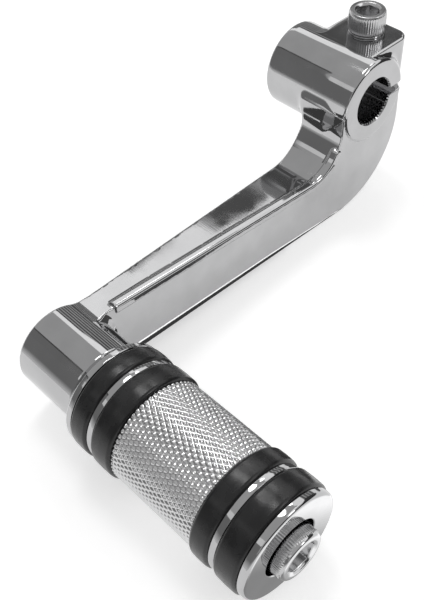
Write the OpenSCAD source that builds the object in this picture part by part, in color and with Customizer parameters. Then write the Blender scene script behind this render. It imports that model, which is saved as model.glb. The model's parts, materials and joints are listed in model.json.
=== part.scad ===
// Gear shift lever with a splined clamp hub and a rolling toe peg.
// The origin is the middle of the shift shaft bore. +X runs forward along the arm
// towards the peg, +Y points away from the engine along the shaft, +Z is up. Millimetres.

/* [Clamp hub] */
// Outer diameter of the hub
hub_d = 29; // [28:0.5:31]
// Length of the hub along the shift shaft
hub_len = 35.4; // [33:0.2:38]
// Diameter of the bore across the spline tips
bore_d = 15.88; // [15.5:0.02:16]
// Number of spline grooves in the bore
spline_count = 48; // [36:2:54]
// Depth of each spline groove
spline_depth = 0.4; // [0.2:0.05:0.45]
// Width of the slit that lets the hub close on the shaft
slit_w = 2.8; // [2:0.1:3.2]

/* [Pinch lug] */
// Reach of the lug behind the bore axis
lug_reach = 20.5; // [19.5:0.5:22]
// Width of the lug along the shift shaft
lug_w = 22.8; // [20:0.2:24]
// Radius of the lug's rear corners
lug_corner_r = 4.5; // [2:0.5:6]
// Distance from the bore axis back to the pinch screw
pinch_x = 12.4; // [12.4:0.1:13]
// Place of the pinch screw along the shift shaft, from the hub's middle
pinch_y = 2.4; // [1:0.1:4]

/* [Arm] */
// Forward distance from the bore to the peg axis
peg_reach = 126.4; // [110:0.2:140]
// Drop from the bore to the peg axis
peg_drop = 22; // [18:0.5:26]
// Setback of the arm's outer face from the hub's outer end
face_setback = 0.5; // [0.3:0.1:1]
// Radius of the outside of the bend under the hub
bend_r = 27.5; // [26:0.5:29]
// Radius of the inside of the bend under the hub
crook_r = 14.2; // [13:0.2:15]
// Thickness of the arm behind its outer face at the hub
arm_thick_hub = 17.4; // [16:0.2:19]
// Thickness of the arm behind its outer face at the peg boss
arm_thick_boss = 9.2; // [8:0.2:11]
// Section of the raised bead along the arm's upper outer edge
bead_w = 3.2; // [1.6:0.2:3.6]
// Height of the bead above the arm's surfaces
bead_proud = 1; // [0.6:0.1:1.4]

/* [Peg boss] */
// Diameter of the boss that carries the peg
boss_d = 25.8; // [24:0.2:27]
// Projection of the boss beyond the arm's outer face
boss_proud = 13.6; // [11:0.2:16]

/* [Screws] */
// Thread diameter of the pinch screw
pinch_thread_d = 7.94; // [7.8:0.02:8]
// Head diameter of the pinch screw
pinch_head_d = 12.4; // [11.9:0.1:13]
// Head height of the pinch screw
pinch_head_h = 6.9; // [6:0.1:8]
// Shank length of the pinch screw
pinch_shank = 24; // [20:1:26]
// Width across the flats of the pinch screw's hexagon socket
pinch_socket_af = 6.35; // [6:0.05:6.4]
// Thread diameter of the peg screw
peg_thread_d = 9.52; // [9.4:0.02:9.6]
// Head diameter of the peg screw
peg_head_d = 14.3; // [13.6:0.1:14.6]
// Head height of the peg screw
peg_head_h = 9.5; // [9:0.1:9.6]
// Width across the flats of the peg screw's hexagon socket
peg_socket_af = 7.94; // [7.6:0.02:8]
// Shank length of the peg screw
peg_shank = 82; // [78:1:84]
// Depth of both hexagon sockets
socket_depth = 4.6; // [4.4:0.1:5]
// Thickness of the washer under the pinch screw
pinch_washer_t = 0.6; // [0.5:0.1:1.2]

/* [Toe peg] */
// Outer diameter of the rubber rings
ring_d = 32.6; // [32:0.2:35]
// Width of the two rubber rings nearer the arm in each pair
ring_a_w = 6.2; // [5:0.2:8]
// Width of the two rubber rings farther from the arm in each pair
ring_b_w = 7.4; // [5:0.2:9]
// Diameter of the metal spacer rings between the rubber rings
spacer_d = 31.3; // [28:0.1:31.5]
// Width of the metal spacer rings
spacer_w = 2; // [1.4:0.1:3]
// Diameter of the knurled sleeve over its knurl
sleeve_d = 31; // [29:0.1:31.8]
// Length of the knurled sleeve
sleeve_len = 29.1; // [24:0.1:34]
// Length of the tapered flange beside the boss
flange_len = 4.1; // [3:0.1:5]
// Thickness of the end cap's visible rim
cap_t = 2.4; // [1.8:0.1:3]
// Depth of the counterbore in the end cap
cap_bore_depth = 7.4; // [7:0.1:8.2]
// Projection of the peg screw's head beyond the end cap
head_proud = 3.8; // [2:0.1:4.4]

/* [Hidden] */

$fn = 96;
eps = 0.01;
// Radial play of a screw or pin that turns in its hole, and of parts stacked on the core
run_gap = 0.05;
stack_gap = 0.02;
// Axial play between the peg and the parts it turns against
end_play = 0.3;

hub_r = hub_d / 2;
bore_r = bore_d / 2;
hub_y = hub_len / 2;
face_y = hub_y - face_setback;

// Arm outline in the XZ plane: the bend, the crook above it and the boss
boss_r = boss_d / 2;
peg_c = [peg_reach, -peg_drop];
bend_c = [bend_r - hub_r - 0.5, -12.3];
crook_c = [hub_r + crook_r + 0.3, -4.5];
top_dir = peg_c + boss_r * [cos(129), sin(129)];
arm_back_hub = face_y - arm_thick_hub;
arm_back_boss = face_y - arm_thick_boss;
boss_y0 = arm_back_boss;
boss_y1 = face_y + boss_proud;

// Pinch screw
pinch_r = pinch_thread_d / 2;
pinch_hole_r = pinch_r + run_gap;
pinch_tap_depth = 12;
pinch_seat_z = hub_r + run_gap;

// Toe peg stack along +Y, starting from the boss
flange_y = boss_y1 + end_play;
ring_1_y = flange_y + flange_len;
spacer_1_y = ring_1_y + ring_a_w;
ring_2_y = spacer_1_y + spacer_w;
sleeve_y = ring_2_y + ring_b_w;
ring_3_y = sleeve_y + sleeve_len;
spacer_2_y = ring_3_y + ring_a_w;
ring_4_y = spacer_2_y + spacer_w;
cap_y = ring_4_y + ring_b_w;
cap_end_y = cap_y + cap_t;

// Radii of the peg's inner parts
peg_screw_r = peg_thread_d / 2;
tube_bore_r = peg_screw_r + run_gap;
tube_r = 6;
bush_bore_r = tube_r + run_gap;
bush_r = 7.6;
bush_flange_r = 9;
bush_flange_t = 1.2;
bush_len = 14;
core_bore_r = bush_r + stack_gap;
core_r = 11;
core_lip_r = 12.4;
core_lip_t = 1.6;
stack_bore_r = core_r + stack_gap;
ring_round = 1.2;
flange_r = spacer_d / 2 + 0.3;
flange_band = 2;
cap_bore_r = 8.25;
cap_spigot_r = 10;
cap_spigot_len = 12;
washer_r = 7.9;
washer_t = 1.2;
wave_t = 0.4;
wave_height = 0.5;
thrust_t = 1;

// The peg screw's head bears on its washer, and the pivot tube reaches from there to the boss
head_seat_y = cap_end_y + head_proud - peg_head_h;
tube_y1 = head_seat_y - washer_t;
core_y0 = flange_y;
core_y1 = cap_y - 1;
outer_bush_y1 = tube_y1 - wave_height - wave_t - end_play;

function arc(c, r, a0, a1, n) = [for (i = [0 : n]) c + r * [cos(a0 + (a1 - a0) * i / n), sin(a0 + (a1 - a0) * i / n)]];
function angle_of(v) = atan2(v[1], v[0]);

// Bottom line of the arm: the outside tangent of the bend and the boss
bottom_angle = angle_of(peg_c - bend_c) - acos((bend_r - boss_r) / norm(peg_c - bend_c));
bottom_normal = [cos(bottom_angle), sin(bottom_angle)];

// Top line of the arm: from the boss to its touching point on the crook's circle
to_crook = crook_c - top_dir;
top_angle = angle_of(to_crook) + asin(crook_r / norm(to_crook));
top_len = sqrt(norm(to_crook) * norm(to_crook) - crook_r * crook_r);
top_unit = [cos(top_angle), sin(top_angle)];
top_normal = [top_unit[1], -top_unit[0]];
top_touch = top_dir + top_len * top_unit;
crook_touch_angle = angle_of(top_touch - crook_c) + 360;
bead_end = 7;
bead_start_angle = 207;

// Turns its children from the XZ drawing plane so that they run from y0 to y1
module along_y(y0, y1) {
    translate([0, y1, 0])
        rotate([90, 0, 0])
            linear_extrude(height = y1 - y0)
                children();
}

// Places a part that is turned about +Z onto the peg axis, with its base at y
module on_peg_axis(y) {
    translate([peg_reach, y, -peg_drop])
        rotate([-90, 0, 0])
            children();
}

module tube(r_out, r_in, h) {
    difference() {
        cylinder(r = r_out, h = h);
        translate([0, 0, -1])
            cylinder(r = r_in, h = h + 2);
    }
}

module socket_head(d, h, across_flats) {
    difference() {
        rotate_extrude()
            polygon([[0, 0], [d / 2 - 0.4, 0], [d / 2, 0.4], [d / 2, h - 0.8], [d / 2 - 0.8, h], [0, h]]);
        translate([0, 0, h - socket_depth])
            cylinder(d = across_flats / cos(30), h = socket_depth + 1, $fn = 6);
    }
}

module arm_outline() {
    polygon(concat(
        [peg_c + boss_r * bottom_normal],
        arc(bend_c, bend_r, bottom_angle, -180, 28),
        [[-hub_r, 0], [hub_r, 0]],
        arc(crook_c, crook_r, 182, crook_touch_angle, 18),
        [top_dir, peg_c]
    ));
}

module bead_outline() {
    bead_tip = top_dir + bead_end * top_unit;
    inner_r = crook_r - bead_proud;
    outer_r = inner_r + bead_w;
    polygon(concat(
        [bead_tip + bead_proud * top_normal],
        arc(crook_c, inner_r, crook_touch_angle, bead_start_angle, 18),
        arc(crook_c, outer_r, bead_start_angle, crook_touch_angle, 18),
        [bead_tip - (bead_w - bead_proud) * top_normal]
    ));
}

// Seen from above, the arm is full depth at the hub and thin at the boss
module arm_plan() {
    polygon([
        [-hub_r - 2, arm_back_hub], [hub_r + 3, arm_back_hub], [peg_reach - boss_r, arm_back_boss],
        [peg_reach + boss_r, arm_back_boss], [peg_reach + boss_r, face_y], [-hub_r - 2, face_y]
    ]);
}

module arm() {
    intersection() {
        along_y(arm_back_hub - 1, face_y)
            arm_outline();
        translate([0, 0, -peg_drop - bend_r])
            linear_extrude(height = 2 * bend_r)
                arm_plan();
    }
    along_y(face_y - bead_w + bead_proud, face_y + bead_proud - 0.2)
        bead_outline();
}

module lug_plan() {
    lug_y0 = pinch_y + 0.7 - lug_w / 2;
    union() {
        translate([-lug_reach + lug_corner_r, lug_y0])
            square([lug_reach - lug_corner_r, lug_w]);
        translate([-lug_reach, lug_y0 + lug_corner_r])
            square([lug_reach, lug_w - 2 * lug_corner_r]);
        for (y = [lug_y0 + lug_corner_r, lug_y0 + lug_w - lug_corner_r])
            translate([-lug_reach + lug_corner_r, y])
                circle(r = lug_corner_r);
    }
}

module spline_outline() {
    tooth_w = 3.1416 * bore_d / spline_count / 2;
    circle(r = bore_r);
    for (i = [0 : spline_count - 1])
        rotate(i * 360 / spline_count)
            translate([bore_r, 0])
                polygon([[-0.3, -tooth_w / 2], [0, -tooth_w / 2], [spline_depth, -0.15],
                         [spline_depth, 0.15], [0, tooth_w / 2], [-0.3, tooth_w / 2]]);
}

module lever() {
    color("gainsboro")
        difference() {
            union() {
                along_y(-hub_y, hub_y)
                    circle(r = hub_r);
                translate([0, 0, -hub_r])
                    linear_extrude(height = hub_d)
                        lug_plan();
                arm();
                along_y(boss_y0, boss_y1)
                    translate(peg_c)
                        circle(r = boss_r);
            }
            along_y(-hub_y - 1, hub_y + 1)
                spline_outline();
            translate([-lug_reach - 2, -hub_y - 1, -slit_w / 2])
                cube([lug_reach + 2, hub_len + 2, slit_w]);
            translate([-pinch_x, pinch_y, -pinch_tap_depth])
                cylinder(r = pinch_hole_r, h = hub_r + pinch_tap_depth + 1);
            along_y(boss_y0 - 1, boss_y1 + 1)
                translate(peg_c)
                    circle(r = tube_bore_r);
        }
}

module pinch_screw() {
    color("silver")
        translate([-pinch_x, pinch_y, pinch_seat_z + pinch_washer_t + run_gap]) {
            socket_head(pinch_head_d, pinch_head_h, pinch_socket_af);
            translate([0, 0, -pinch_shank])
                cylinder(r = pinch_r, h = pinch_shank + eps);
        }
}

module pinch_washer() {
    color("lightgrey")
        translate([-pinch_x, pinch_y, pinch_seat_z])
            tube(pinch_head_d / 2 - 0.3, pinch_hole_r, pinch_washer_t);
}

module peg_screw() {
    color("silver")
        on_peg_axis(head_seat_y) {
            socket_head(peg_head_d, peg_head_h, peg_socket_af);
            translate([0, 0, -peg_shank])
                cylinder(r = peg_screw_r, h = peg_shank + eps);
        }
}

module peg_head_washer() {
    color("silver")
        on_peg_axis(tube_y1)
            tube(washer_r, tube_bore_r, washer_t);
}

module pivot_tube() {
    color("darkgray")
        on_peg_axis(boss_y1)
            tube(tube_r, tube_bore_r, tube_y1 - boss_y1);
}

module thrust_washer() {
    color("darkgray")
        on_peg_axis(boss_y1)
            tube(bush_flange_r, bush_bore_r, thrust_t);
}

// Three waves around the ring, drawn as one closed band
module wave_washer() {
    steps = 48;
    waves = 3;
    inner = tube_r + 0.3;
    outer = washer_r - 0.2;
    function lift(i) = wave_height * (1 + sin(i * 360 * waves / steps)) / 2;
    function ring_point(r, i, z) = [r * cos(i * 360 / steps), r * sin(i * 360 / steps), z];
    points = [for (i = [0 : steps - 1]) each [
        ring_point(inner, i, lift(i)), ring_point(outer, i, lift(i)),
        ring_point(outer, i, lift(i) + wave_t), ring_point(inner, i, lift(i) + wave_t)
    ]];
    faces = [for (i = [0 : steps - 1]) for (k = [0 : 3]) let(
        a = 4 * i + k,
        b = 4 * i + (k + 1) % 4,
        c = 4 * ((i + 1) % steps) + (k + 1) % 4,
        d = 4 * ((i + 1) % steps) + k
    ) each [[a, b, c], [a, c, d]]];
    color("darkgray")
        on_peg_axis(tube_y1 - wave_height - wave_t - end_play / 3)
            polyhedron(points = points, faces = faces);
}

module peg_core() {
    color("lightgrey")
        on_peg_axis(core_y0)
            difference() {
                union() {
                    cylinder(r = core_r, h = core_y1 - core_y0);
                    cylinder(r = core_lip_r, h = core_lip_t);
                }
                translate([0, 0, -1])
                    cylinder(r = core_bore_r, h = core_y1 - core_y0 + 2);
                translate([0, 0, -1])
                    cylinder(r = bush_flange_r + run_gap, h = 1 + thrust_t + bush_flange_t);
                translate([0, 0, cap_y - cap_spigot_len - core_y0 - end_play])
                    cylinder(r = cap_spigot_r + stack_gap, h = cap_spigot_len + 2);
            }
}

module bush(y, flange_end) {
    color("peru")
        on_peg_axis(y)
            difference() {
                union() {
                    cylinder(r = bush_r, h = bush_len);
                    translate([0, 0, flange_end * (bush_len - bush_flange_t)])
                        cylinder(r = flange_end ? washer_r : bush_flange_r, h = bush_flange_t);
                }
                translate([0, 0, -1])
                    cylinder(r = bush_bore_r, h = bush_len + 2);
            }
}

module inner_bush() {
    bush(flange_y + thrust_t - stack_gap, 0);
}

module outer_bush() {
    bush(outer_bush_y1 - bush_len, 1);
}

module inboard_flange() {
    color("gainsboro")
        on_peg_axis(flange_y)
            difference() {
                rotate_extrude()
                    polygon([[0, 0], [boss_r + 0.4, 0], [boss_r + 0.8, 0.5], [flange_r - 0.4, flange_len - flange_band],
                             [flange_r, flange_len - flange_band + 0.4], [flange_r, flange_len], [0, flange_len]]);
                translate([0, 0, -1])
                    cylinder(r = core_lip_r + stack_gap, h = 1 + core_lip_t + stack_gap);
                translate([0, 0, -1])
                    cylinder(r = stack_bore_r, h = flange_len + 2);
            }
}

module rubber_ring(y, w) {
    color("dimgray")
        on_peg_axis(y + stack_gap)
            difference() {
                rotate_extrude()
                    union() {
                        square([ring_d / 2 - ring_round, w - 2 * stack_gap]);
                        translate([0, ring_round])
                            square([ring_d / 2, w - 2 * stack_gap - 2 * ring_round]);
                        for (z = [ring_round, w - 2 * stack_gap - ring_round])
                            translate([ring_d / 2 - ring_round, z])
                                circle(r = ring_round);
                    }
                translate([0, 0, -1])
                    cylinder(r = stack_bore_r, h = w + 2);
            }
}

module rubber_ring_1() {
    rubber_ring(ring_1_y, ring_a_w);
}

module rubber_ring_2() {
    rubber_ring(ring_2_y, ring_b_w);
}

module rubber_ring_3() {
    rubber_ring(ring_3_y, ring_a_w);
}

module rubber_ring_4() {
    rubber_ring(ring_4_y, ring_b_w);
}

module spacer_ring_1() {
    color("gainsboro")
        on_peg_axis(spacer_1_y)
            tube(spacer_d / 2, stack_bore_r, spacer_w);
}

module spacer_ring_2() {
    color("gainsboro")
        on_peg_axis(spacer_2_y)
            tube(spacer_d / 2, stack_bore_r, spacer_w);
}

module knurled_sleeve() {
    color("silver")
        on_peg_axis(sleeve_y)
            tube(sleeve_d / 2, stack_bore_r, sleeve_len);
}

module end_cap() {
    cap_r = spacer_d / 2;
    color("gainsboro")
        on_peg_axis(cap_y - cap_spigot_len)
            difference() {
                union() {
                    cylinder(r = cap_spigot_r, h = cap_spigot_len + 1);
                    translate([0, 0, cap_spigot_len + stack_gap])
                        rotate_extrude()
                            polygon([[0, 0], [cap_r, 0], [cap_r, cap_t - 1.1], [cap_r - 0.8, cap_t], [0, cap_t]]);
                }
                translate([0, 0, cap_spigot_len + cap_t - cap_bore_depth])
                    cylinder(r = cap_bore_r, h = cap_bore_depth + 1);
                translate([0, 0, outer_bush_y1 - bush_flange_t - stack_gap - cap_y + cap_spigot_len])
                    cylinder(r = washer_r + run_gap, h = cap_spigot_len);
                translate([0, 0, -1])
                    cylinder(r = core_bore_r, h = cap_spigot_len + 1);
            }
}

lever();
pinch_screw();
pinch_washer();
peg_screw();
peg_head_washer();
pivot_tube();
thrust_washer();
wave_washer();
peg_core();
inner_bush();
outer_bush();
inboard_flange();
rubber_ring_1();
spacer_ring_1();
rubber_ring_2();
knurled_sleeve();
rubber_ring_3();
spacer_ring_2();
rubber_ring_4();
end_cap();
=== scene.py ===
"""Gear shift lever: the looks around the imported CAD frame.

The scene is in metres with +Z up, and the shapes are worked out in millimetres.
"""
import json
import math

import bpy
import numpy as np
from mathutils import Euler, Matrix, Vector


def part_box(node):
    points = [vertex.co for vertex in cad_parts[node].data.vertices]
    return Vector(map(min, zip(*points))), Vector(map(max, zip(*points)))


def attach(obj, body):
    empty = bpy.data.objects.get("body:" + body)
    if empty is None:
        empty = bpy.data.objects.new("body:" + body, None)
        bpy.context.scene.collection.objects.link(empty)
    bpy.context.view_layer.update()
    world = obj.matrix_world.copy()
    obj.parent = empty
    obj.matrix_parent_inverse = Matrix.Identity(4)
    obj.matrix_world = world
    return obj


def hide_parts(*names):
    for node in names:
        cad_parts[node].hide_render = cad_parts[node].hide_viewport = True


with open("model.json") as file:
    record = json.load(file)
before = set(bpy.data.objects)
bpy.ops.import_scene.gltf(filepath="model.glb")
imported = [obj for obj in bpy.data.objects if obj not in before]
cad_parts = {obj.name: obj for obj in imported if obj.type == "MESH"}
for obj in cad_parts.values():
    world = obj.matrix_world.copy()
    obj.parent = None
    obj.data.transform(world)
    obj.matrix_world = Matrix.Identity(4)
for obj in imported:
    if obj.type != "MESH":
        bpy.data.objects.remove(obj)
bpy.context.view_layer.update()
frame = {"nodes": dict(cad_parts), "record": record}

MM = 0.001


# ---------------------------------------------------------------- places taken from the frame, in mm
def node_box(name):
    """The low and the high corner of a CAD node."""
    low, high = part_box(name)
    return np.array(low) / MM, np.array(high) / MM


lever_lo, lever_hi = node_box("lever")
ring_lo, ring_hi = node_box("rubber_ring_1")
screw_lo, screw_hi = node_box("pinch_screw")
clamp = next(mount for mount in frame["record"]["mounts"] if mount["name"] == "shaft_clamp")

PEG_X = (ring_lo[0] + ring_hi[0]) / 2
PEG_Z = (ring_lo[2] + ring_hi[2]) / 2
BOSS_R = lever_hi[0] - PEG_X
BOSS_END = lever_hi[1]
HUB_R = lever_hi[2]
HUB_Y = -lever_lo[1]
BORE_R = clamp["dims"]["r_mm"]
LUG_X = lever_lo[0]
FLOOR_Z = lever_lo[2]
PINCH_X = (screw_lo[0] + screw_hi[0]) / 2
PINCH_Y = (screw_lo[1] + screw_hi[1]) / 2

# ---------------------------------------------------------------- sizes that the boxes don't give, in mm
# The arm, from its outer face to a back that tapers from the hub to the boss
ARM_AT_HUB = 17.4
ARM_AT_BOSS = 9.2
FACE_Y = HUB_Y - 0.5
BACK_HUB = FACE_Y - ARM_AT_HUB
BACK_BOSS = FACE_Y - ARM_AT_BOSS
TAPER_START = HUB_R + 3
UPPER_EDGE = 0.5
LOWER_EDGE = 1.0
BACK_EDGE = 0.8

# The bend under the hub, whose back leans by BEND_LEAN degrees, and the crook above it
BEND_R = 27.5
BEND_C = (BEND_R - HUB_R - 0.5, FLOOR_Z + BEND_R)
BEND_LEAN = 2.3
CROOK_R = 14.2
CROOK_C = (HUB_R + CROOK_R + 0.3, -4.5)

# The bead along the arm's upper edge: how far it stands up and out, and its start round the crook
BEAD_W = 3.2
BEAD_UP = 1.0
BEAD_OUT = 0.8
BEAD_ROUND = 1.0
BEAD_START = math.radians(207)
BEAD_GAP = 7

# The boss, which the arm's top meets at TOP_AT_BOSS, and the low cone round its foot
TOP_AT_BOSS = math.radians(129)
BOSS_FILL = 0.8
BOSS_RIM = 0.5
CONE_W = 2.0
CONE_SLOPE = math.radians(28)
PEG_HOLE_R = 4.81

# The hub, its serrated bore and the split lug
HUB_RIM = 1.3
HUB_FILL = 3.5
BORE_CHAMFER = 0.6
SPLINES = 48
SPLINE_DEPTH = 0.4
LUG_Y = PINCH_Y + 0.7
LUG_HALF = 11.4
LUG_CORNER = 4.5
LUG_EDGE = 0.6
LUG_FILL = 3
SLIT = 2.8
PINCH_HOLE_R = 4.02
PINCH_HOLE_END = -12

# The toe peg's pieces
CORE_R = 11.02
CORE_LIP_R = 12.42
CORE_LIP_W = 1.65
BUSH_R = 7.62
FLANGE_BAND = 2.0
CAP_RIM = 2.4
CAP_BORE_R = 8.25
CAP_BORE_DEPTH = 7.4
CAP_SPIGOT_R = 10.0
KNURL_STARTS = 62
KNURL_ANGLE = math.radians(30)
KNURL_DEPTH = 0.4
KNURL_STEPS = 8

# The two screws: shanks, sockets across their flats, ribs round their heads, play to the washers, threads
PINCH_R = 3.97
PINCH_AF = 6.35
PEG_SCREW_R = 4.76
PEG_AF = 7.94
SOCKET_DEPTH = 4.2
RIB_DEPTH = 0.22
PLAY = 0.05
THREAD_PITCH = 1.411
THREAD_DEPTH = 0.8

# ---------------------------------------------------------------- sizes of the studio, in metres
FLOOR = FLOOR_Z * MM - 0.0002
ON_FLOOR = FLOOR + 0.0002
CARD_AWAY = 4.0
LAMP_AWAY = 1.1

# Where cards end along Y, as shares of their distance
FAR_END, STEP_Y, NEAR_END = -2.3, -0.62, 0.6

# The fade from the floor to the dark cards, and the stripes low behind the lever, in degrees
FADE_X = 0.25
FADE_Y = (-1, 0.4)
FADE_TOP = 0.0
FADE_ROWS = 7
FADE_LIGHT = 0.85
FADE_DARK = 0.25
STRIPES = 6
STRIPE_START = 132
STRIPE_PITCH = 7.6
STRIPE_W = 3.4

# The bands of floor in front of the end cap, in mm: they slant, and go from dark to light over CAP_FADE
CAP_END = node_box("end_cap")[1][1]
CAP_BAND_X = (90, 150)
SLANT = 17.7
CAP_SHADES = 24
CAP_FADE = 18
CAP_DARK = 0.42
CAP_LIGHT = 1.72


# ---------------------------------------------------------------- distance functions for the lever
def step(low, high, v):
    """0 below low, 1 above high, smooth between."""
    t = np.clip((v - low) / (high - low), 0, 1)
    return t * t * (3 - 2 * t)


def cut(a, b, r):
    """What is inside both a and b, with the edge between them rounded to r."""
    return np.minimum(-r, np.maximum(a, b)) + np.hypot(np.maximum(r + a, 0), np.maximum(r + b, 0))


def join(a, b, r):
    """What is inside a or b, with the corner between them filled to r."""
    return -cut(-a, -b, r)


def corner(x, z, centre, r, angle_a, angle_b):
    """The region inside two straight sides that face angle_a and angle_b and share a rounded corner."""
    ax, az = math.cos(angle_a), math.sin(angle_a)
    bx, bz = math.cos(angle_b), math.sin(angle_b)
    px, pz = x - centre[0], z - centre[1]
    det = ax * bz - az * bx
    along_a = (px * bz - pz * bx) / det
    along_b = (ax * pz - az * px) / det
    sides = np.maximum(px * ax + pz * az, px * bx + pz * bz) - r
    return np.where((along_a > 0) & (along_b > 0), np.hypot(px, pz) - r, sides)


def angle_of(v):
    """The direction of a flat vector."""
    return math.atan2(v[1], v[0])


peg_from_bend = (PEG_X - BEND_C[0], PEG_Z - BEND_C[1])
BOTTOM_ANGLE = angle_of(peg_from_bend) - math.acos((BEND_R - BOSS_R) / math.hypot(*peg_from_bend))
TOP_END = (PEG_X + BOSS_R * math.cos(TOP_AT_BOSS), PEG_Z + BOSS_R * math.sin(TOP_AT_BOSS))
crook_from_end = (CROOK_C[0] - TOP_END[0], CROOK_C[1] - TOP_END[1])
TOP_ANGLE = angle_of(crook_from_end) + math.asin(CROOK_R / math.hypot(*crook_from_end)) - math.pi / 2
LEFT_ANGLE = math.radians(180 - BEND_LEAN)


def arm_outer(x, z):
    """What is inside the back of the bend and the arm's lower side."""
    return corner(x, z, BEND_C, BEND_R, LEFT_ANGLE, BOTTOM_ANGLE)


def above_arm(x, z):
    """The space over the arm's upper side, down into the crook."""
    return corner(x, z, CROOK_C, CROOK_R, math.pi, TOP_ANGLE + math.pi)


def arm(x, y, z, above, peg_axis):
    """The arm and the bend: one outline, between the outer face with its cone and the tapering back."""
    outer = arm_outer(x, z)
    outline = np.maximum(np.maximum(outer, -above), np.maximum(z, x - PEG_X))
    outline = join(outline, peg_axis - BOSS_R, BOSS_FILL * step(PEG_Z - 2, PEG_Z + 5, z) + 0.001)
    cone = (y - FACE_Y) * math.cos(CONE_SLOPE) + (peg_axis - BOSS_R - CONE_W) * math.sin(CONE_SLOPE)
    front = np.maximum(join(y - FACE_Y, cone, 0.3), y - FACE_Y - CONE_W)
    front_edge = UPPER_EDGE + (LOWER_EDGE - UPPER_EDGE) * step(-6, -1, outer)
    taper = (BACK_BOSS - BACK_HUB) / (PEG_X - BOSS_R - TAPER_START)
    back_y = np.clip(BACK_HUB + taper * (x - TAPER_START), BACK_HUB, BACK_BOSS)
    return cut(cut(outline, front, front_edge), (back_y - y) / math.hypot(1, taper), BACK_EDGE)


def bead(x, y, z, above):
    """The bead along the arm's upper outer edge, from under the hub to just before the boss."""
    half = BEAD_W / 2
    past_up = np.abs(above - half + BEAD_UP) - half
    past_out = np.abs(y - FACE_Y - BEAD_OUT + half) - half
    past_start = (x - CROOK_C[0]) * math.sin(BEAD_START) - (z - CROOK_C[1]) * math.cos(BEAD_START)
    section = cut(past_up, past_out, BEAD_ROUND)
    return cut(cut(section, x - TOP_END[0] + BEAD_GAP, 0.3), past_start, 1.2)


def lug(x, y, z):
    """The clamp lug behind the hub, with rounded corners as seen from above."""
    past_x = LUG_X + LUG_CORNER - x
    past_y = np.abs(y - LUG_Y) - LUG_HALF + LUG_CORNER
    plan = np.hypot(np.maximum(past_x, 0), np.maximum(past_y, 0)) - LUG_CORNER
    plan = plan + np.minimum(np.maximum(past_x, past_y), 0)
    return cut(np.maximum(plan, x), np.abs(z) - HUB_R, LUG_EDGE)


def openings(x, y, z, hub_axis, peg_axis):
    """What is cut out of the lever, each with the rounding of its edge."""
    turn = np.arctan2(z, x) * SPLINES / (2 * math.pi)
    wave = np.abs(turn - np.floor(turn) - 0.5) * 2
    bore = hub_axis - BORE_R - SPLINE_DEPTH * step(0.35, 0.65, wave)
    mouth = (hub_axis - BORE_R - BORE_CHAMFER + HUB_Y - np.abs(y)) / math.sqrt(2)
    slit = np.maximum(np.abs(z) - SLIT / 2, x)
    pinch_hole = np.maximum(np.hypot(x - PINCH_X, y - PINCH_Y) - PINCH_HOLE_R, PINCH_HOLE_END - z)
    peg_hole = peg_axis - PEG_HOLE_R
    return (bore, 0.12), (mouth, 0.06), (slit, 0.3), (pinch_hole, 0.2), (peg_hole, 0.3)


def lever_distance(x, y, z):
    """The whole lever: under 0 inside it, over 0 outside."""
    above = above_arm(x, z)
    hub_axis = np.hypot(x, z)
    peg_axis = np.hypot(x - PEG_X, z - PEG_Z)
    bead_fill = 0.15 + 0.6 * step(FACE_Y - 0.2, FACE_Y - 1.2, y)
    body = join(arm(x, y, z, above, peg_axis), bead(x, y, z, above), bead_fill)
    boss = cut(cut(peg_axis - BOSS_R, y - BOSS_END, BOSS_RIM), BACK_BOSS - y, BACK_EDGE)
    body = np.minimum(body, boss)
    hub = cut(hub_axis - HUB_R, np.abs(y) - HUB_Y, HUB_RIM)
    body = join(body, hub, HUB_FILL * step(15, 8, y) * step(-6, 4, x) + 0.02)
    body = join(body, lug(x, y, z), LUG_FILL * step(14.4, 11.5, np.abs(z)) * step(-2, -9, x) + 0.02)
    for opening, edge in openings(x, y, z, hub_axis, peg_axis):
        body = cut(body, -opening, edge)
    return body


# ---------------------------------------------------------------- surface from a distance function
def ticks(*parts):
    """Grid lines from (start, spacing) pairs and a last value."""
    lines = []
    for (start, gap), following in zip(parts[:-1], parts[1:]):
        end = following[0] if isinstance(following, tuple) else following
        count = max(1, round((end - start) / gap))
        lines.extend(start + (end - start) * np.arange(count) / count)
    return np.array(lines + [parts[-1]])


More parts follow.
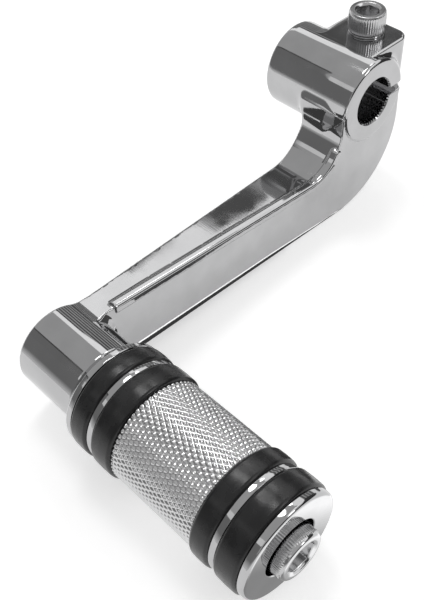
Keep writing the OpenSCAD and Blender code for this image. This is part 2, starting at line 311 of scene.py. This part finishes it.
def surface(distance, xs, ys, zs):
    """Points and four-sided faces of the surface where distance is 0, on a grid of uneven spacing."""
    field = distance(xs[:, None, None], ys[None, :, None], zs[None, None, :])
    field = np.broadcast_to(field, (len(xs), len(ys), len(zs)))
    inside = field < 0
    corners = [(i, j, k) for i in (0, 1) for j in (0, 1) for k in (0, 1)]
    shape = tuple(n - 1 for n in field.shape)

    def part(array, i, j, k):
        return array[i:i + shape[0], j:j + shape[1], k:k + shape[2]]

    count = sum(part(inside, *c).astype(np.int8) for c in corners)
    cells = np.argwhere((count > 0) & (count < 8))
    number = np.full(shape, -1, dtype=np.int64)
    number[tuple(cells.T)] = np.arange(len(cells))

    lines = (xs, ys, zs)
    total = np.zeros((len(cells), 3))
    hits = np.zeros(len(cells))
    for axis in range(3):
        for side in [(i, j) for i in (0, 1) for j in (0, 1)]:
            start = list(side)
            start.insert(axis, 0)
            end = list(side)
            end.insert(axis, 1)
            a = field[tuple((cells + start).T)]
            b = field[tuple((cells + end).T)]
            crossed = (a < 0) != (b < 0)
            share = np.where(crossed, a / np.where(crossed, a - b, 1), 0)
            spot = np.stack([lines[d][cells[:, d] + start[d]] for d in range(3)], axis=1)
            spot[:, axis] += share * (lines[axis][cells[:, axis] + 1] - lines[axis][cells[:, axis]])
            total[crossed] += spot[crossed]
            hits[crossed] += 1
    points = total / hits[:, None]

    faces = []
    for axis in range(3):
        u, v = (axis + 1) % 3, (axis + 2) % 3
        one = [slice(None)] * 3
        two = [slice(None)] * 3
        one[axis], two[axis] = slice(None, -1), slice(1, None)
        edge = inside[tuple(one)] != inside[tuple(two)]
        spots = np.argwhere(edge)
        leaves = inside[tuple(one)][edge]
        keep = (spots[:, u] > 0) & (spots[:, v] > 0)
        keep &= (spots[:, u] < shape[u]) & (spots[:, v] < shape[v])
        spots, leaves = spots[keep], leaves[keep]
        ring = []
        for du, dv in ((-1, -1), (0, -1), (0, 0), (-1, 0)):
            cell = spots.copy()
            cell[:, u] += du
            cell[:, v] += dv
            ring.append(number[tuple(cell.T)])
        quads = np.stack(ring, axis=1)
        quads[~leaves] = quads[~leaves][:, ::-1]
        faces.append(quads)
    return points, np.concatenate(faces)


def slope_of(distance, points, reach=0.01):
    """The gradient of a distance function at points."""
    x, y, z = points.T
    return np.stack([
        distance(x + reach, y, z) - distance(x - reach, y, z),
        distance(x, y + reach, z) - distance(x, y - reach, z),
        distance(x, y, z + reach) - distance(x, y, z - reach),
    ], axis=1) / (2 * reach)


def settle(distance, points, rounds=5, limit=0.12):
    """Moves points onto the surface, each by a short way at a time."""
    for _ in range(rounds):
        slope = slope_of(distance, points)
        value = distance(*points.T)
        move = -(value / np.maximum((slope ** 2).sum(axis=1), 0.05))[:, None] * slope
        far = np.linalg.norm(move, axis=1)
        points = points + move * np.minimum(1, limit / np.maximum(far, 1e-9))[:, None]
    return points


def mesh_object(name, points, faces, normals):
    """A smooth object from points in mm, faces and a normal for each point."""
    mesh = bpy.data.meshes.new(name)
    mesh.from_pydata((np.asarray(points) * MM).tolist(), [], np.asarray(faces).tolist())
    mesh.polygons.foreach_set("use_smooth", [True] * len(mesh.polygons))
    mesh.normals_split_custom_set_from_vertices(normals.tolist())
    mesh.update()
    made = bpy.data.objects.new(name, mesh)
    bpy.context.scene.collection.objects.link(made)
    return made


def make_lever():
    """The forging, on grid lines that are closest together at the bore, the bead, the boss and the rims."""
    bore_zone, crook_end, bead_end, boss_middle, low_zone = 9.2, 31, 104, 121, -21
    xs = ticks((LUG_X - 0.7, 0.6), (-bore_zone, 0.25), (bore_zone, 0.6), (crook_end, 0.75),
               (bead_end, 0.42), (boss_middle, 0.9), PEG_X + BOSS_R + 0.9)
    ys = ticks((-HUB_Y - 0.5, 0.3), (-HUB_Y + 1.3, 2.8), (-2, 0.8), (FACE_Y - BEAD_W, 0.26),
               (FACE_Y + 1.4, 1.6), (BOSS_END - 0.8, 0.25), BOSS_END + 0.5)
    zs = ticks((FLOOR_Z - 0.7, 0.7), (low_zone, 0.32), (-bore_zone, 0.25), (bore_zone, 0.6), HUB_R + 0.8)
    points, faces = surface(lever_distance, xs, ys, zs)
    points = settle(lever_distance, points)
    normals = slope_of(lever_distance, points, 0.02)
    normals /= np.maximum(np.linalg.norm(normals, axis=1), 1e-6)[:, None]
    return mesh_object("lever_forging", points, faces, normals)


# ---------------------------------------------------------------- turned pieces
def soften(outline, steps=5):
    """A closed outline of (radius, height, rounding) corners, with each corner rounded."""
    smooth = []
    for before, here, after in zip(outline[-1:] + outline[:-1], outline, outline[1:] + outline[:1]):
        spot = np.array(here[:2], dtype=float)
        if here[2] == 0:
            smooth.append(spot)
            continue
        back, on = np.array(before[:2]) - spot, np.array(after[:2]) - spot
        back, on = back / np.linalg.norm(back), on / np.linalg.norm(on)
        half = math.acos(float(np.clip(back @ on, -1, 1))) / 2
        centre = spot + (back + on) / np.linalg.norm(back + on) * here[2] / math.sin(half)
        reach = here[2] / math.tan(half)
        first = angle_of(spot + back * reach - centre)
        sweep = (angle_of(spot + on * reach - centre) - first + math.pi) % (2 * math.pi) - math.pi
        for i in range(steps + 1):
            angle = first + sweep * i / steps
            smooth.append(centre + here[2] * np.array([math.cos(angle), math.sin(angle)]))
    return smooth


def on_peg(points):
    """From (a, b, height) about a piece's own axis to the toe peg's axis."""
    return np.stack([PEG_X + points[:, 1], points[:, 2], PEG_Z + points[:, 0]], axis=1)


def on_pinch(points):
    """From a piece's own axis to the pinch screw's."""
    return points + np.array([PINCH_X, PINCH_Y, 0])


def round_angles(count):
    """Even angles round a whole turn."""
    return np.arange(count) * 2 * math.pi / count


def halves(quads):
    """Two triangles from each quad."""
    return np.concatenate([quads[:, [0, 1, 2]], quads[:, [0, 2, 3]]])


def split_level(grid, quads):
    """Two triangles from each quad, cut along its more level and lower diagonal."""
    radius = grid.ravel()
    a, b, c, d = (radius[quads[:, i]] for i in range(4))
    along_ac = np.abs(a - c) * 1000 + a + c < np.abs(b - d) * 1000 + b + d
    first = np.where(along_ac[:, None], quads[:, [0, 1, 2]], quads[:, [0, 1, 3]])
    second = np.where(along_ac[:, None], quads[:, [0, 2, 3]], quads[:, [1, 2, 3]])
    return np.concatenate([first, second])


def weighted_normals(points, faces):
    """Point normals in which large faces count most, so that flats stay flat beside their rounded edges."""
    triangles = halves(faces) if faces.shape[1] == 4 else faces
    a, b, c = (points[triangles[:, i]] for i in range(3))
    normal = np.cross(b - a, c - a)
    total = np.zeros_like(points)
    for i in range(3):
        np.add.at(total, triangles[:, i], normal)
    return total / np.maximum(np.linalg.norm(total, axis=1), 1e-12)[:, None]


def turned(name, loops, place, count, ring=True, level=False):
    """A solid turned about its axis from (radius or radii, height) loops.

    A ring joins its last loop to its first; any other piece is closed by a fan at each end.
    """
    grid = np.array([np.broadcast_to(radius, count) for radius, _ in loops], dtype=float)
    height = np.array([loop[1] for loop in loops], dtype=float)[:, None] + np.zeros(count)
    angles = round_angles(count)
    points = np.stack([grid * np.cos(angles), grid * np.sin(angles), height], axis=2).reshape(-1, 3)
    rows = len(loops)
    row, column = np.meshgrid(np.arange(rows if ring else rows - 1), np.arange(count), indexing="ij")
    row, column = row.ravel(), column.ravel()
    up, on = (row + 1) % rows, (column + 1) % count
    quads = np.stack([row * count + column, row * count + on, up * count + on, up * count + column], axis=1)
    if not ring:
        points = np.concatenate([points, [[0, 0, height[0, 0]], [0, 0, height[-1, 0]]]])
        here = np.arange(count)
        following = (here + 1) % count
        last = (rows - 1) * count
        low = np.stack([np.full(count, rows * count), following, here], axis=1)
        high = np.stack([np.full(count, rows * count + 1), last + here, last + following], axis=1)
        faces = np.concatenate([halves(quads), low, high])
    elif level:
        faces = split_level(grid, quads)
    else:
        faces = quads
    points = place(points)
    return mesh_object(name, points, faces, weighted_normals(points, faces))


def peg_size(node_name):
    """A peg piece's outer radius and its two ends along the peg."""
    low, high = node_box(node_name)
    return (high[0] - low[0]) / 2, low[1], high[1]


def ribbed(radius, depth, ribs, count):
    """Radii of a loop with fine ribs along the axis."""
    wave = np.abs((np.arange(count) * ribs / count) % 1 - 0.5) * 2
    return radius - depth * wave


def hexagon(across_flats, count):
    """Radii of a loop that is a hexagon."""
    sector = math.pi / 3
    return across_flats / 2 / np.cos((round_angles(count) + sector / 2) % sector - sector / 2)


def crowned_ring(name, node_name, crown, crown_round, edge_round, steps=5):
    """A ring round the core, higher by crown at its middle than at its edges."""
    radius, start, end = peg_size(node_name)
    outline = soften([
        (CORE_R, start, 0), (radius - crown, start, edge_round), (radius, (start + end) / 2, crown_round),
        (radius - crown, end, edge_round), (CORE_R, end, 0),
    ], steps)
    return turned(name, outline, on_peg, 180)


def rubber_ring(node_name):
    return crowned_ring(node_name + "_moulding", node_name, 0.12, 14, 1.1, steps=8)


def spacer_ring(node_name):
    return crowned_ring(node_name + "_band", node_name, 0.06, 4, 0.28)


def flange():
    """The tapered flange, with a straight band at its wide end and a recess for the core's lip."""
    radius, start, end = peg_size("inboard_flange")
    outline = soften([
        (CORE_LIP_R, start, 0), (BOSS_R + 0.6, start, 0.3), (radius - 0.3, end - FLANGE_BAND, 0.5),
        (radius, end - FLANGE_BAND + 0.4, 0.3), (radius, end, 0.35), (CORE_R, end, 0),
        (CORE_R, start + CORE_LIP_W, 0), (CORE_LIP_R, start + CORE_LIP_W, 0),
    ])
    return turned("flange_turning", outline, on_peg, 180)


def end_cap():
    """The cap, with a counterbore for the screw's head and a spigot inside the core."""
    radius, start, end = peg_size("end_cap")
    rim = end - CAP_RIM
    bore_floor = end - CAP_BORE_DEPTH
    outline = soften([
        (CAP_BORE_R, bore_floor, 0.2), (CAP_BORE_R, end, 0.45), (radius, end, 1.1), (radius, rim, 0.3),
        (CAP_SPIGOT_R, rim, 0), (CAP_SPIGOT_R, start, 0.3), (BUSH_R, start, 0.2), (BUSH_R, bore_floor, 0),
    ])
    return turned("end_cap_turning", outline, on_peg, 180)


def knurled_sleeve():
    """A diamond knurl: two families of grooves cross at KNURL_ANGLE to the axis."""
    radius, start, end = peg_size("knurled_sleeve")
    plain = radius - KNURL_DEPTH - 0.1
    chamfer = 0.25
    count = KNURL_STARTS * KNURL_STEPS
    pitch = 2 * math.pi * radius / KNURL_STARTS / math.tan(KNURL_ANGLE)
    rows = round((end - start) / pitch * KNURL_STEPS)
    around = np.arange(count) / KNURL_STEPS
    loops = [(CORE_R, start), (plain, start)]
    for i in range(rows + 1):
        y = start + chamfer + (end - start - 2 * chamfer) * i / rows
        along = i / KNURL_STEPS
        near = np.minimum(*(np.abs((v + 0.5) % 1 - 0.5) for v in (around + along, around - along)))
        loops.append((radius - KNURL_DEPTH * np.clip(1 - near / 0.42, 0, 1), y))
    loops += [(plain, end), (CORE_R, end)]
    return turned("sleeve_knurling", loops, on_peg, count, level=True)


def thread(shank_r, start, end):
    """Loops of a screw's ridges, one for each whole pitch between start and end."""
    root = shank_r - THREAD_DEPTH
    loops = []
    for i in range(int((end - start) / THREAD_PITCH)):
        base = start + i * THREAD_PITCH
        loops += [(root, base), (root, base + 0.15), (shank_r, base + 0.62), (shank_r, base + 0.82)]
    return loops


def socket_screw(name, place, head_r, shank_r, socket_af, seat, top, tip, ribs, rim):
    """A cap screw, from its tip up: thread, seat, ribbed head, plain rim rounded to rim, hexagon socket."""
    count = ribs * 4
    full_ribs = ribbed(head_r, RIB_DEPTH, ribs, count)
    half_ribs = ribbed(head_r - 0.12, RIB_DEPTH / 2, ribs, count)
    plain = head_r - RIB_DEPTH - 0.1
    ribs_end = top - rim - 0.6
    rim_start = ribs_end + 0.6
    loops = [(shank_r - 0.9, tip), (shank_r - 0.1, tip + 0.8)]
    loops += thread(shank_r, tip + 1, seat - 5)
    loops += [(shank_r, seat - 4.5), (shank_r, seat - 0.3), (shank_r + 0.3, seat), (head_r - 0.7, seat)]
    loops += [(half_ribs - 0.1, seat + 0.3), (full_ribs, seat + 0.6)]
    loops += [(full_ribs, seat + (ribs_end - seat) * share) for share in (0.3, 0.6, 0.85, 1)]
    loops += [(half_ribs, ribs_end + 0.35), (plain, rim_start)]
    for i in range(1, 9):
        angle = math.pi / 2 * i / 8
        loops.append((plain - rim * (1 - math.cos(angle)), rim_start + rim * math.sin(angle)))
    flats = hexagon(socket_af, count)
    corners_r = socket_af / 2 / math.cos(math.pi / 6)
    floor = top - SOCKET_DEPTH
    loops += [(corners_r + 0.75, top), (corners_r + 0.55, top - 0.05), (corners_r + 0.12, top - 0.5)]
    loops += [(flats, top - 0.75), (flats, floor), (flats * 0.55, floor - 0.3)]
    return turned(name, loops, place, count, ring=False)


def plain_washer(name, node_name, place, bore, axis):
    """A flat washer whose thickness runs along an axis, 1 for Y or 2 for Z."""
    low, high = node_box(node_name)
    radius, start, end = (high[0] - low[0]) / 2, low[axis], high[axis]
    outline = soften([(bore, start, 0.08), (radius, start, 0.15), (radius, end, 0.2), (bore, end, 0.12)], 3)
    return turned(name, outline, place, 96)


# ---------------------------------------------------------------- materials
class Finish:
    """A node material whose noise runs in the object's own metres."""

    def __init__(self, name, colour, metallic, roughness):
        self.material = bpy.data.materials.new(name)
        self.material.use_nodes = True
        self.tree = self.material.node_tree
        self.shader = self.tree.nodes["Principled BSDF"]
        self.shader.inputs["Base Color"].default_value = (*colour, 1)
        self.shader.inputs["Metallic"].default_value = metallic
        self.shader.inputs["Roughness"].default_value = roughness
        self.place = self.tree.nodes.new("ShaderNodeTexCoord").outputs["Object"]
        self.normal = None

    def noise(self, size_mm, detail=2.0, stretch=(1, 1, 1)):
        """Noise with features of about size_mm, longer along an axis whose stretch is over 1."""
        mapping = self.tree.nodes.new("ShaderNodeMapping")
        mapping.inputs["Scale"].default_value = tuple(1000 / size_mm / s for s in stretch)
        texture = self.tree.nodes.new("ShaderNodeTexNoise")
        texture.inputs["Scale"].default_value = 1
        texture.inputs["Detail"].default_value = detail
        self.tree.links.new(self.place, mapping.inputs["Vector"])
        self.tree.links.new(mapping.outputs[0], texture.inputs["Vector"])
        return texture.outputs["Fac"]

    def spread(self, value, low, high, start, end):
        """value from low to high becomes start to end."""
        node = self.tree.nodes.new("ShaderNodeMapRange")
        self.tree.links.new(value, node.inputs["Value"])
        for socket, number in zip(("From Min", "From Max", "To Min", "To Max"), (low, high, start, end)):
            node.inputs[socket].default_value = number
        return node.outputs[0]

    def mix(self, value, first, second):
        """A colour that goes from first to second with value."""
        node = self.tree.nodes.new("ShaderNodeMix")
        node.data_type = "RGBA"
        self.tree.links.new(value, node.inputs["Factor"])
        node.inputs["A"].default_value = (*first, 1)
        node.inputs["B"].default_value = (*second, 1)
        return node.outputs["Result"]

    def colour(self, value):
        self.tree.links.new(value, self.shader.inputs["Base Color"])

    def roughness(self, value):
        self.tree.links.new(value, self.shader.inputs["Roughness"])

    def bump(self, height, depth_mm):
        """Adds a relief depth_mm deep on top of any that is there."""
        node = self.tree.nodes.new("ShaderNodeBump")
        node.inputs["Distance"].default_value = depth_mm * MM
        self.tree.links.new(height, node.inputs["Height"])
        if self.normal is not None:
            self.tree.links.new(self.normal, node.inputs["Normal"])
        self.normal = node.outputs[0]
        self.tree.links.new(self.normal, self.shader.inputs["Normal"])


def polished_chrome(name, colour, lines, wobble, clean=0.025, dull=0.11):
    """Chrome over a hand-polished forging: soft waves, faint polishing lines and a few dull smudges."""
    made = Finish(name, colour, 1, 0.04)
    darker = tuple(part * 0.93 for part in colour)
    made.colour(made.mix(made.spread(made.noise(9, 3), 0.35, 0.65, 0, 1), darker, colour))
    made.roughness(made.spread(made.noise(11, 4), 0.35, 0.8, clean, dull))
    made.bump(made.noise(16, 2), wobble)
    made.bump(made.noise(2.2, 3), 0.0012)
    made.bump(made.noise(0.45, 2, lines), 0.002)
    return made.material


def turned_metal(name, colour, rough, lines):
    """Metal off a lathe: fine rings around the peg's axis, and a little colour change."""
    made = Finish(name, colour, 1, rough)
    made.colour(made.mix(made.noise(5, 3), tuple(part * 0.86 for part in colour), colour))
    made.roughness(made.spread(made.noise(3, 4), 0.3, 0.7, rough * 0.7, rough * 1.4))
    made.bump(made.noise(0.3, 3, lines), 0.004)
    return made.material


def sintered_bronze():
    """Bronze pressed from powder: dark pores in a matt surface."""
    bright, pore = (0.6, 0.4, 0.2), (0.22, 0.13, 0.06)
    made = Finish("sintered_bronze", bright, 1, 0.45)
    pores = made.noise(0.25, 3)
    made.colour(made.mix(made.spread(pores, 0.4, 0.55, 0, 1), pore, bright))
    made.roughness(made.spread(made.noise(2, 2), 0.3, 0.7, 0.35, 0.6))
    made.bump(pores, 0.01)
    return made.material


def grip_rubber():
    """Satin moulded rubber: fine grain, a slight bloom and a few handling marks."""
    black, bloomed = (0.009, 0.009, 0.0095), (0.019, 0.019, 0.0195)
    made = Finish("grip_rubber", bloomed, 0, 0.5)
    made.shader.inputs["Specular IOR Level"].default_value = 0.36
    made.colour(made.mix(made.spread(made.noise(7, 4), 0.35, 0.7, 0, 1), black, bloomed))
    made.roughness(made.spread(made.noise(3.5, 5), 0.3, 0.75, 0.17, 0.36))
    made.bump(made.noise(0.28, 3), 0.012)
    made.bump(made.noise(4, 3), 0.03)
    return made.material


CHROME = (0.47, 0.47, 0.475)
EVEN = (1, 1, 1)
AROUND_PEG = (1, 0.2, 1)
lever_chrome = polished_chrome("lever_chrome", CHROME, (1, 30, 1), 0.010)
trim_chrome = polished_chrome("trim_chrome", CHROME, (1, 0.5, 1), 0.003)
knurl_chrome = polished_chrome("knurl_chrome", (0.62, 0.62, 0.625), EVEN, 0.002)
screw_chrome = polished_chrome("screw_chrome", (0.52, 0.52, 0.525), EVEN, 0.002, clean=0.1, dull=0.2)
plain_steel = turned_metal("plain_steel", (0.42, 0.42, 0.43), 0.28, AROUND_PEG)
core_aluminium = turned_metal("core_aluminium", (0.6, 0.6, 0.61), 0.3, AROUND_PEG)
bush_bronze = sintered_bronze()
rubber = grip_rubber()


# ---------------------------------------------------------------- the object's pieces
def put(piece, body, node_name, material):
    """Lets a piece stand for a CAD node."""
    piece.data.materials.append(material)
    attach(piece, body)
    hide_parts(node_name)


put(make_lever(), "lever", "lever", lever_chrome)
for number in range(1, 5):
    ring_name = f"rubber_ring_{number}"
    put(rubber_ring(ring_name), "peg", ring_name, rubber)
for number in range(1, 3):
    ring_name = f"spacer_ring_{number}"
    put(spacer_ring(ring_name), "peg", ring_name, trim_chrome)
put(flange(), "peg", "inboard_flange", trim_chrome)
put(end_cap(), "peg", "end_cap", trim_chrome)
put(knurled_sleeve(), "peg", "knurled_sleeve", knurl_chrome)

head_r, peg_tip, peg_top = peg_size("peg_screw")
peg_seat = peg_size("peg_head_washer")[2]
peg_screw = socket_screw("peg_screw_turning", on_peg, head_r, PEG_SCREW_R, PEG_AF,
                         seat=peg_seat, top=peg_top, tip=peg_tip, ribs=64, rim=0.9)
put(peg_screw, "lever", "peg_screw", screw_chrome)

head_r = (screw_hi[0] - screw_lo[0]) / 2
pinch_seat = node_box("pinch_washer")[1][2] + PLAY
pinch_screw = socket_screw("pinch_screw_turning", on_pinch, head_r, PINCH_R, PINCH_AF,
                           seat=pinch_seat, top=screw_hi[2], tip=screw_lo[2], ribs=48, rim=0.35)
put(pinch_screw, "pinch_screw", "pinch_screw", screw_chrome)

pinch_washer = plain_washer("pinch_washer_pressing", "pinch_washer", on_pinch, PINCH_R + PLAY, axis=2)
put(pinch_washer, "pinch_washer", "pinch_washer", screw_chrome)
head_washer = plain_washer("peg_head_washer_pressing", "peg_head_washer", on_peg, PEG_SCREW_R + PLAY, axis=1)
put(head_washer, "lever", "peg_head_washer", plain_steel)

KEPT_NODES = {
    "pivot_tube": plain_steel, "thrust_washer": plain_steel, "wave_washer": plain_steel,
    "peg_core": core_aluminium, "inner_bush": bush_bronze, "outer_bush": bush_bronze,
}
for node_name, material in KEPT_NODES.items():
    materials = frame["nodes"][node_name].data.materials
    materials.clear()
    materials.append(material)


# ---------------------------------------------------------------- stage, in metres
def stage_sheet(name, corners, colour, glow):
    """A flat sheet of the studio, which isn't part of the object."""
    mesh = bpy.data.meshes.new(name)
    mesh.from_pydata(corners, [], [tuple(range(len(corners)))])
    made = bpy.data.objects.new(name, mesh)
    bpy.context.scene.collection.objects.link(made)
    material = bpy.data.materials.new(name)
    material.use_nodes = True
    shader = material.node_tree.nodes["Principled BSDF"]
    shader.inputs["Base Color"].default_value = (colour, colour, colour, 1)
    shader.inputs["Roughness"].default_value = 0.8
    shader.inputs["Specular IOR Level"].default_value = 0
    shader.inputs["Emission Color"].default_value = (1, 1, 1, 1)
    shader.inputs["Emission Strength"].default_value = glow
    mesh.materials.append(material)
    return made


def reflected_sheet(name, corners, glow):
    """A black sheet with its own glow, which only reflections see."""
    made = stage_sheet(name, corners, 0, glow)
    made.visible_camera = False
    made.visible_shadow = False
    made.visible_diffuse = False


def long_card(name, near, far, start, end, glow, distance=CARD_AWAY):
    """A card along Y: near and far are the (low, high) degrees that it fills, as seen along Y, at its two
    ends, and start and end are the places of those ends along Y, as shares of its distance."""
    def spot(degrees, y):
        angle = math.radians(degrees)
        return PEG_X / 2 * MM + distance * math.cos(angle), y * distance, distance * math.sin(angle)

    corners = [spot(near[0], start), spot(far[0], end), spot(far[1], end), spot(near[1], start)]
    reflected_sheet(name, corners, glow)


def even_card(name, low, high, start, end, glow, distance=CARD_AWAY):
    """A long card that fills the same angle all along."""
    long_card(name, (low, high), (low, high), start, end, glow, distance)


def floor_patch(name, corners, glow):
    """A patch on the floor, from its corners in mm, that only reflections see."""
    reflected_sheet(name, [(x * MM, y * MM, ON_FLOOR) for x, y in corners], glow)


def cap_band(name, start, end, glow):
    """A slanting band of floor in front of the end cap, from start to end mm beyond its face."""
    near, far = CAP_END + start, CAP_END + end
    left, right = CAP_BAND_X
    corners = [(left, near - SLANT), (right, near + SLANT), (right, far + SLANT), (left, far - SLANT)]
    floor_patch(name, corners, glow)


def lamp(name, direction, across, power):
    """A round soft box that looks at the toe peg from a direction."""
    data = bpy.data.lights.new(name, "AREA")
    data.shape = "DISK"
    data.size = across
    data.energy = power
    made = bpy.data.objects.new(name, data)
    bpy.context.scene.collection.objects.link(made)
    away = Vector(direction).normalized()
    made.location = Vector((PEG_X, HUB_Y * 3, PEG_Z)) * MM + away * LAMP_AWAY
    made.rotation_mode = "QUATERNION"
    made.rotation_quaternion = away.to_track_quat("Z", "Y")
    made.visible_camera = False


stage_sheet("floor", [(-9, -9, FLOOR), (9, -9, FLOOR), (9, 9, FLOOR), (-9, 9, FLOOR)], 0.8, 0.5)

# Ahead of the lever: dark cards, with a light window over their near part
even_card("dark_flag", 0, 37, FAR_END, NEAR_END, 0.24)
even_card("dark_step", 37, 55, FAR_END, STEP_Y, 0.23)
even_card("black_edge", 55, 58, FAR_END, STEP_Y, 0.1)
even_card("window", 37, 48, STEP_Y, NEAR_END, 1.0)

# Above and behind it: one white card whose edges bend. Each row starts a part of it, and the last ends it
WHITE_GLOW = 1.45
WHITE_CARD = [
    ("white_back", FAR_END, (118, 127.5)),
    ("white_turn", -0.73, (118, 128)),
    ("white_mid", -0.69, (118, 134.6)),
    ("white_wedge", -0.651, (119, 134.8)),
    ("white_side", -0.617, (120, 137.9)),
    ("white_near", -0.58, (122, 143)),
    ("end", -0.5, (124, 143)),
]
for (card_name, start, near), (_, end, far) in zip(WHITE_CARD[:-1], WHITE_CARD[1:]):
    long_card(card_name, near, far, start, end, WHITE_GLOW)
long_card("white_front", (124, 150), (133, 145), -0.5, NEAR_END, 1.3)

# Low behind it: grey stripes in front of a dark card
even_card("far_flag", 127, 179, FAR_END, NEAR_END, 0.13, CARD_AWAY * 1.25)
for number in range(STRIPES):
    low = STRIPE_START + STRIPE_PITCH * number
    even_card(f"stripe_{number}", low, low + STRIPE_W, FAR_END, NEAR_END, 0.5, CARD_AWAY + 0.1)

# Low ahead of it: sheets that fade from the floor's light at their foot into the dark of the cards
far, near = FADE_Y
for number in range(FADE_ROWS):
    low, high = (FLOOR + (FADE_TOP - FLOOR) * (number + side) / FADE_ROWS for side in (0, 1))
    x = FADE_X + 0.0001 * number
    glow = FADE_LIGHT + (FADE_DARK - FADE_LIGHT) * number / (FADE_ROWS - 1)
    reflected_sheet(f"fade_{number}", [(x, far, low), (x, near, low), (x, near, high), (x, far, high)], glow)
reflected_sheet("low_flag", [(0.26, -2, FADE_TOP), (0.26, 0.6, FADE_TOP), (0.5, 0.6, 0.1), (0.5, -2, 0.1)],
                0.24)

# Dark walls behind the lever and on its outer side, and a white sheet high up between them
WALL_AWAY = 3
WALL_END = 4
WALL_TOP = 1.9
WALL_GLOW = 0.06


def wall(name, start, end):
    """An upright wall between two (x, y) places on the floor."""
    reflected_sheet(name, [(*start, FLOOR), (*end, FLOOR), (*end, WALL_TOP), (*start, WALL_TOP)], WALL_GLOW)


wall("horizon", (-WALL_AWAY, -0.6), (-WALL_AWAY, WALL_END))
wall("front_horizon", (-WALL_AWAY, WALL_END), (WALL_AWAY, WALL_END))
reflected_sheet("front_white", [(-1.0, 2.4, 2.1), (-2.4, 1.2, 2.1), (-1.9, 0.7, 3.0), (-0.6, 1.6, 3.0)], 1.6)

# Shade and light that the chrome catches from the floor close to it
floor_patch("under_shade", [(40, -30), (118, -30), (118, 17), (40, 17)], 0.08)
floor_patch("front_shade", [(10, 16.9), (118, 16.9), (118, 22.6), (45, 19.7), (10, 17.6)], 0.08)
floor_patch("edge_light", [(10, 17.6), (45, 19.7), (118, 22.6), (118, 23.1), (45, 20.05), (10, 17.8)], 2.4)
floor_patch("near_shade", [(-6, 36.5), (91, 36.5), (91, 75), (-6, 75)], 0.1)
cap_band("cap_shade", -10, 0, CAP_DARK)
for number in range(CAP_SHADES):
    start, end = (CAP_FADE * (number + side) / CAP_SHADES for side in (0, 1))
    share = number / (CAP_SHADES - 1)
    cap_band(f"cap_shade_{number}", start, end, CAP_DARK + (CAP_LIGHT - CAP_DARK) * share ** 1.5)
cap_band("cap_light", CAP_FADE, 90, CAP_LIGHT)

lamp("key", (-0.21, -0.36, 0.91), 0.33, 2.0)
lamp("second", (-0.55, -0.36, 0.76), 0.18, 0.5)
lamp("front", (-0.37, 0.76, 0.53), 0.26, 0.9)

world = bpy.data.worlds.new("studio")
bpy.context.scene.world = world
world.use_nodes = True
world.node_tree.nodes["Background"].inputs["Color"].default_value = (0.56, 0.56, 0.56, 1)
bpy.context.scene.view_settings.view_transform = "Standard"


# ---------------------------------------------------------------- camera, in metres and degrees
CAMERA_PLACE = (0.20125, 0.15994, 0.16736)
CAMERA_TURN = (42.712, 1.287, 135.268)
cam_data = bpy.data.cameras.new("camera")
cam_data.lens = 52.73
cam_data.sensor_width = 36
cam_data.shift_x = -0.0326
cam_data.shift_y = 0.0041
cam_data.clip_start = 0.01
cam = bpy.data.objects.new("camera", cam_data)
bpy.context.scene.collection.objects.link(cam)
turn = Euler([math.radians(angle) for angle in CAMERA_TURN]).to_matrix()
cam.matrix_world = Matrix.Translation(CAMERA_PLACE) @ turn.to_4x4()
bpy.context.scene.camera = cam
